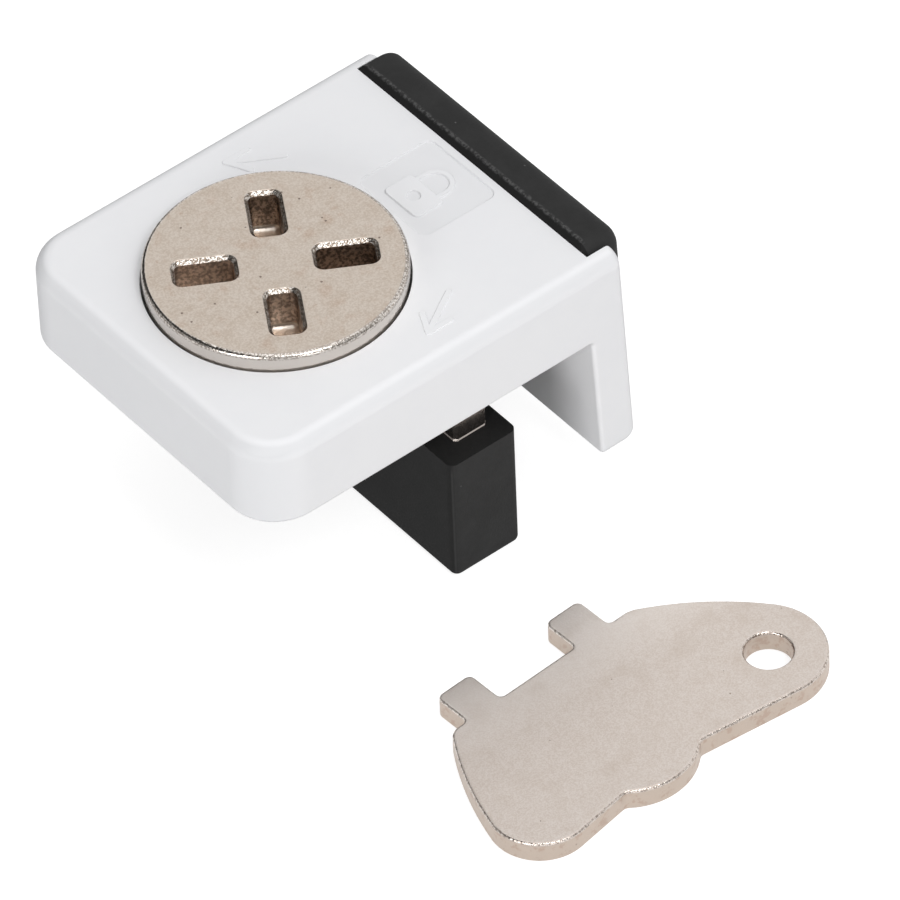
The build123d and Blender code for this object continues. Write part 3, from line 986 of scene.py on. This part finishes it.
    def _pocket(self, surface: Surface, zones: DiscZones) -> Source:
        """Colour the pockets: gritty walls with painted shade, less towards -X, floors with
        painted light.

        Args:
            surface: The disc's surface.
            zones: Where its parts are.

        Returns:
            The colour.
        """
        graph = surface.graph
        across, _, _ = surface.parts()
        # Painted shade on the pocket walls, less of it towards -X, varied by grit.
        light = graph.rise(across, self.light_across)
        dim = graph.blend(light, scaled(self.painted_wall_shade, self.grit_dim),
                          scaled(self.painted_wall_light, self.grit_dim))
        clear = graph.blend(light, scaled(self.painted_wall_shade, self.wall_clear),
                            scaled(self.painted_wall_light, self.light_wall_clear))
        painted_wall_shade = graph.blend(surface.mask(self.grit), dim, clear)
        # Painted light: the pocket floors are brighter than the disc's top.
        return graph.blend(zones.floor, painted_wall_shade, self.floor)


@dataclass(frozen=True, kw_only=True)
class PlainSteel(Finish):
    """Plain steel for the pieces inside the lock."""

    colour: Colour
    roughness: float
    darker: float = 0.86
    patch_scale: float = 600.0
    grain_scale: float = 6000.0
    grain_depth: float = 0.006 * MM

    def cover(self, surface: Surface) -> None:
        """Give the steel its colour, shine and grain.

        Args:
            surface: The surface to cover.
        """
        patches = surface.mottle(self.patch_scale)
        colour = surface.graph.blend(patches, self.colour, scaled(self.colour, self.darker))
        surface.put("Base Color", colour)
        surface.put("Metallic", 1.0)
        surface.put("Roughness", self.roughness)
        surface.bump(surface.grain(self.grain_scale), self.grain_depth)


@dataclass(frozen=True, kw_only=True)
class PlainNylon(Finish):
    """Black nylon of the thrust washer."""

    slot: Slot = Slot.NYLON
    colour: Colour = (0.02, 0.02, 0.02)
    patch: Colour = (0.03, 0.03, 0.03)
    patch_scale: float = 900.0
    roughness: float = 0.5

    def cover(self, surface: Surface) -> None:
        """Give the nylon its colour and dullness.

        Args:
            surface: The surface to cover.
        """
        patches = surface.mottle(self.patch_scale)
        surface.put("Base Color", surface.graph.blend(patches, self.colour, self.patch))
        surface.put("Roughness", self.roughness)


class Assembly(ABC):
    """Some solids that belong together."""

    @abstractmethod
    def finishes(self) -> list[Finish]:
        """Choose a finish for each of its slots, with the places that the frame gives."""


@dataclass
class Housing(Assembly):
    """The coated housing with its cover, buffer strip and thrust washer."""

    corner_radius: float = 5.5 * MM
    marks_margin: float = 1.9 * MM

    def finishes(self) -> list[Finish]:
        """Choose the finishes of the coated pieces, the strip and the washer.

        Returns:
            One finish for each slot.
        """
        low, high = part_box("housing")
        corner_x = low.x + self.corner_radius
        corner_y = high.y - self.corner_radius
        marks_half = high.y - self.marks_margin
        coats = [PowderCoat(slot=slot, corner_x=corner_x, corner_y=corner_y, mark=high.z,
                            marks_half=marks_half)
                 for slot in (Slot.WHITE_COAT, Slot.WHITE_PLATE)]
        inner_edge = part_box("buffer_strip")[0].x
        return [*coats, StripRubber(inner_edge=inner_edge), PlainNylon()]


@dataclass
class Disc(Assembly):
    """The turning disc with its four key pockets."""

    pocket_depth: float = 5.1 * MM

    def finishes(self) -> list[Finish]:
        """Choose the disc's finish.

        Returns:
            The one finish, in a list.
        """
        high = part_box("rotor_disc")[1]
        pocket_floor = high.z - self.pocket_depth
        return [DiscNickel(radius=high.x, top=high.z, pocket_floor=pocket_floor)]


@dataclass
class Jaw(Assembly):
    """The leg and the rubber shoe that is pushed over it."""

    foot_height: float = 0.65 * MM

    def finishes(self) -> list[Finish]:
        """Choose the finishes of the shoe and the leg.

        Returns:
            The two finishes.
        """
        low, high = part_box("rubber_shoe")
        foot = low.z + self.foot_height
        return [
            ShoeRubber(top=high.z, back=low.x, near=low.y, foot=foot),
            LegNickel(shoe_top=high.z),
        ]


class Key(Assembly):
    """The loose key."""

    def finishes(self) -> list[Finish]:
        """Choose the key's finish."""
        return [KeyNickel(top=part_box("key")[1].z)]


@dataclass
class Hardware(Assembly):
    """The steel washers, plates, pins and screws inside the lock."""

    steels: tuple[PlainSteel, ...] = (
        PlainSteel(slot=Slot.SPRING_STEEL, colour=(0.20, 0.20, 0.21), roughness=0.35),
        PlainSteel(slot=Slot.ZINC_STEEL, colour=(0.55, 0.56, 0.57), roughness=0.35),
        PlainSteel(slot=Slot.ZINC_SCREWS, colour=(0.60, 0.61, 0.62), roughness=0.3),
    )

    def finishes(self) -> list[Finish]:
        """Choose the finish of each kind of steel."""
        return list(self.steels)


@dataclass
class Lock:
    """The lock and its key: every solid with its finish."""

    effects: Effects

    def dress(self) -> None:
        """Give each node of the frame the material of its slot."""
        made: dict[str, bpy.types.Material] = {}
        for assembly in (Housing(), Disc(), Jaw(), Key(), Hardware()):
            for finish in assembly.finishes():
                made[finish.slot.value] = finish.build(self.effects)
        slots = {part["node"]: part["material_slot"] for part in frame["record"]["subparts"]}
        for name, piece in frame["nodes"].items():
            piece.data.materials.clear()
            piece.data.materials.append(made[slots[name]])
            LOG.info("dressed %s in %s", name, slots[name])


@dataclass(frozen=True)
class Lamp:
    """One square soft lamp that looks at the lock.

    Attributes:
        name: The lamp's name.
        place: Where it hangs.
        size: Its side.
        power: Its power in watts.
    """

    name: str
    place: Point
    size: float
    power: float

    def hang(self, target: Vector) -> None:
        """Hang the lamp.

        Args:
            target: The point that it looks at.
        """
        data = bpy.data.lights.new(self.name, "AREA")
        data.size = self.size
        data.energy = self.power
        lamp = bpy.data.objects.new(self.name, data)
        lamp.location = self.place
        lamp.rotation_euler = (target - lamp.location).to_track_quat("-Z", "Y").to_euler()
        bpy.context.scene.collection.objects.link(lamp)


@dataclass(frozen=True)
class Panel:
    """A part of the studio round the lock that is brighter or darker than the rest.

    Attributes:
        name: The panel's name.
        axis: The direction in which it lies.
        near: How closely a heading follows the axis where the panel fades in.
        level: The panel's brightness.
        far: Where it fades out again, on a panel that stops short of its axis.
    """

    name: str
    axis: Point
    near: Band
    level: float
    far: Band | None = None

    def over(self, graph: Graph, heading: Source, level: Source) -> Source:
        """Lay the panel over the brightness behind it.

        Args:
            graph: The world's graph.
            heading: The direction looked in.
            level: The brightness behind the panel.

        Returns:
            The brightness with the panel.
        """
        node = graph.add("ShaderNodeVectorMath", operation="DOT_PRODUCT", label=self.name)
        graph.feed(node.inputs[0], heading)
        graph.feed(node.inputs[1], self.axis)
        along = node.outputs["Value"]
        share = graph.rise(along, self.near)
        if self.far:
            share = graph.times(share, graph.fall(along, self.far))
        return graph.between(share, level, self.level)


@dataclass(frozen=True)
class Walls:
    """The studio's walls, which the camera sees as plain white.

    Their brightness goes from low_level to high_level over rise_band of a heading's height,
    and the panels lie over it.
    """

    rise_band: Band = (0.2, 0.9)
    low_level: float = 0.54
    high_level: float = 0.96
    panels: tuple[Panel, ...] = (
        Panel("wall_behind", axis=(0.4237, 0.5789, 0.6965), near=(0.68, 0.86), level=1.2),
        Panel("bright_right", axis=(0.917, -0.305, 0.257), near=(0.86, 0.94), level=1.35),
        Panel("bright_above", axis=(0.0, 0.0, 1.0), near=(0.84, 0.94), level=1.75),
        Panel("dark_left", axis=(-0.807, 0.59, 0.0), near=(0.21, 0.30), level=0.08,
              far=(0.72, 0.86)),
    )

    def build(self) -> None:
        """Make the world."""
        world = bpy.data.worlds.new("studio")
        bpy.context.scene.world = world
        world.use_nodes = True
        tree = world.node_tree
        tree.nodes.clear()
        graph = Graph(tree)
        heading = graph.add("ShaderNodeTexCoord").outputs["Generated"]
        split = graph.add("ShaderNodeSeparateXYZ")
        graph.feed(split.inputs[0], heading)
        level = graph.span(split.outputs["Z"], *self.rise_band, self.low_level, self.high_level)
        for panel in self.panels:
            level = panel.over(graph, heading, level)
        path = graph.add("ShaderNodeLightPath")
        strength = graph.between(path.outputs["Is Camera Ray"], level, 1.0)
        back = graph.add("ShaderNodeBackground")
        graph.feed(back.inputs["Strength"], strength)
        graph.feed(graph.add("ShaderNodeOutputWorld").inputs["Surface"], back.outputs[0])


@dataclass(frozen=True)
class Floor:
    """The white floor, which the lock shades.

    It reflects less than it seems to: to the camera and in the metal it glows as well, so that
    it looks white without lighting the lock from below.
    """

    level: float
    size: float = 3.0
    colour: Colour = (0.44, 0.44, 0.44)
    seen_colour: Colour = (0.42, 0.42, 0.42)
    seen_glow: float = 0.80
    gloss_glow: float = 0.62

    def build(self) -> None:
        """Lay the floor."""
        mesh = bpy.data.meshes.new("floor")
        work = bmesh.new()
        bmesh.ops.create_grid(work, x_segments=1, y_segments=1, size=self.size / 2)
        bmesh.ops.translate(work, verts=work.verts, vec=(0, 0, self.level))
        work.to_mesh(mesh)
        work.free()
        floor = bpy.data.objects.new("floor", mesh)
        bpy.context.scene.collection.objects.link(floor)
        mesh.materials.append(self._material())

    def _material(self) -> bpy.types.Material:
        """Make the floor's material.

        Returns:
            The material.
        """
        material = bpy.data.materials.new("floor_white")
        material.use_nodes = True
        tree = material.node_tree
        tree.nodes.clear()
        graph = Graph(tree)
        path = graph.add("ShaderNodeLightPath")
        by_camera = path.outputs["Is Camera Ray"]
        seen = graph.largest(by_camera, path.outputs["Is Glossy Ray"],
                             path.outputs["Is Transmission Ray"])
        plain = graph.add("ShaderNodeBsdfDiffuse")
        graph.feed(plain.inputs["Color"], self.colour)
        pale = graph.add("ShaderNodeBsdfDiffuse")
        graph.feed(pale.inputs["Color"], self.seen_colour)
        glow = graph.add("ShaderNodeEmission")
        strength = graph.between(by_camera, self.gloss_glow, self.seen_glow)
        graph.feed(glow.inputs["Strength"], strength)
        shown = graph.add("ShaderNodeAddShader")
        graph.feed(shown.inputs[0], pale.outputs[0])
        graph.feed(shown.inputs[1], glow.outputs[0])
        mix = graph.add("ShaderNodeMixShader")
        for socket, source in zip(mix.inputs, (seen, plain.outputs[0], shown.outputs[0])):
            graph.feed(socket, source)
        graph.feed(graph.add("ShaderNodeOutputMaterial").inputs["Surface"], mix.outputs[0])
        return material


@dataclass(frozen=True)
class Camera:
    """The camera at the photograph's angle.

    Attributes:
        place: Where it stands.
        azimuth: Where it stands round the lock, in degrees from -Y.
        elevation: How far above the floor's plane it looks from, in degrees.
        roll: How far it is turned about its own axis, in degrees.
        focal_pixels: Its focal length, in pixels of the photograph.
        image_pixels: The photograph's width.
        sensor_width: Its sensor's width in millimetres.
        clip_start: The nearest distance that it shows.
    """

    place: Point = (-0.445646, -0.608896, 0.732607)
    azimuth: float = -37.463
    elevation: float = 45.15
    roll: float = -2.515
    focal_pixels: float = 10501.0
    image_pixels: float = 900.0
    sensor_width: float = 36.0
    clip_start: float = 10.0 * MM

    def build(self) -> None:
        """Set up the camera."""
        turn = math.radians(self.azimuth)
        rise = math.radians(self.elevation)
        back = Vector((math.sin(turn) * math.cos(rise), -math.cos(turn) * math.cos(rise),
                       math.sin(rise)))
        right = Vector((math.cos(turn), math.sin(turn), 0))
        up = back.cross(right)
        roll = math.radians(self.roll)
        across = right * math.cos(roll) + up * math.sin(roll)
        upright = up * math.cos(roll) - right * math.sin(roll)
        data = bpy.data.cameras.new("camera")
        data.sensor_width = self.sensor_width
        data.lens = self.focal_pixels / self.image_pixels * data.sensor_width
        data.clip_start = self.clip_start
        camera = bpy.data.objects.new("camera", data)
        axes = Matrix((across, upright, back)).transposed()
        camera.matrix_world = Matrix.Translation(self.place) @ axes.to_4x4()
        bpy.context.scene.collection.objects.link(camera)
        bpy.context.scene.camera = camera


@dataclass(frozen=True)
class Studio:
    """The floor, the walls, the lamps and the camera."""

    floor_level: float
    target: Point = (0.0, 0.0, -10.0 * MM)
    lamps: tuple[Lamp, ...] = (
        Lamp("lamp_high", place=(-0.10, -0.60, 0.75), size=0.30, power=2.1),
        Lamp("lamp_side", place=(-0.90, -0.40, 0.18), size=0.50, power=4.6),
        Lamp("lamp_front", place=(-0.25, -0.95, 0.12), size=0.30, power=0.9),
        Lamp("lamp_camera", place=(-0.50, -0.62, 0.85), size=0.14, power=0.3),
    )

    def build(self) -> None:
        """Make the whole studio."""
        Floor(level=self.floor_level).build()
        Walls().build()
        for lamp in self.lamps:
            lamp.hang(Vector(self.target))
        Camera().build()


def main() -> None:
    """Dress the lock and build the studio."""
    logging.basicConfig(level=logging.INFO)
    scene = bpy.context.scene
    scene.view_settings.view_transform = "Standard"
    Lock(Effects()).dress()
    Studio(floor_level=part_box("rubber_shoe")[0][2] - FLOOR_GAP).build()
    LOG.info("built the studio")


if __name__ == "__main__":
    main()
